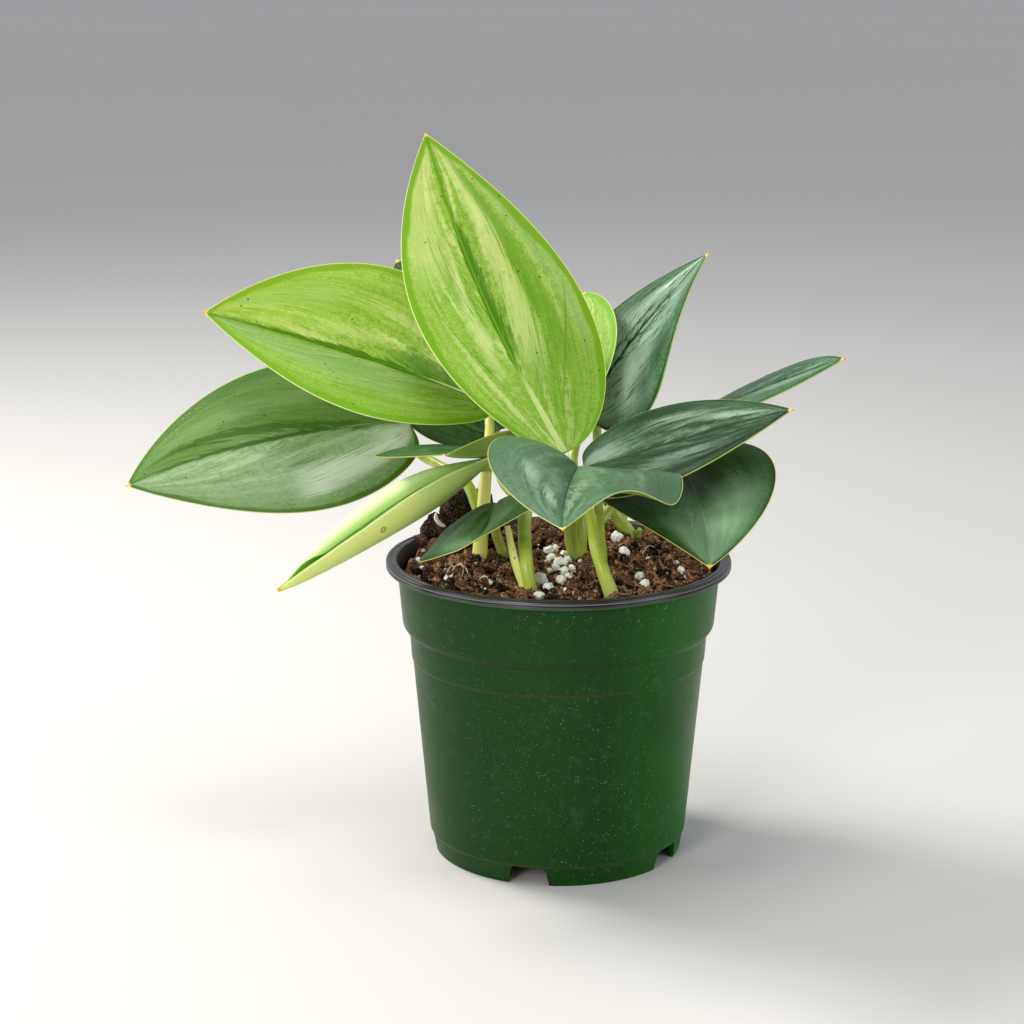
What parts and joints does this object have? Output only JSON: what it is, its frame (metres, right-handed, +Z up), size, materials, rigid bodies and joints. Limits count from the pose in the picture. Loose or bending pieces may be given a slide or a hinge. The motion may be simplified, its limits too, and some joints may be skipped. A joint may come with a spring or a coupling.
{
  "type": "potted scindapsus",
  "caption": "Young aroid house plant with smooth pointed oval leaves on short arching petioles, standing in potting mix in a round tapered nursery pot with a foot ring.",
  "frame": {"origin": "on the axis of the pot, on the plane its foot ring and hub stand on", "axes": "+Z up along the axis of the pot, -Y towards the front of the plant, +X to the right as seen from the front"},
  "size_m": [0.2376, 0.1846, 0.2358],
  "materials": {
    "pot_green": "satin dark green, dusty, with a dark grey lip and inside",
    "soil": "matt damp potting mix with bark chips and white perlite",
    "stem": "smooth, slightly waxy",
    "leaf_lime": "satin, pale streaks between the veins",
    "leaf_silver_green": "satin, silvery sheen on the lower half",
    "leaf_dark": "satin with a silvery sheen and dark veins",
    "leaf_young": "smooth, pale and glossy"
  },
  "bodies": {
    "root": {"nursery_pot": "pot_green", "potting_mix": "soil", "shoot_left": "stem", "shoot_thin": "stem", "shoot_front_left": "stem", "shoot_centre": "stem", "shoot_front": "stem", "shoot_right": "stem", "shoot_back": "stem", "leaf_upright_lime": "leaf_lime", "leaf_left_lime": "leaf_lime", "leaf_lower_left": "leaf_silver_green", "leaf_edge_on": "leaf_dark", "leaf_front_wavy": "leaf_dark", "leaf_right_upper": "leaf_dark", "leaf_right_drooping": "leaf_dark", "leaf_back_right": "leaf_dark", "leaf_far_right": "leaf_dark", "leaf_behind_lime": "leaf_lime", "leaf_behind_dark": "leaf_dark", "leaf_low_left": "leaf_dark", "leaf_rolled_young": "leaf_young"}
  },
  "joints": []
}
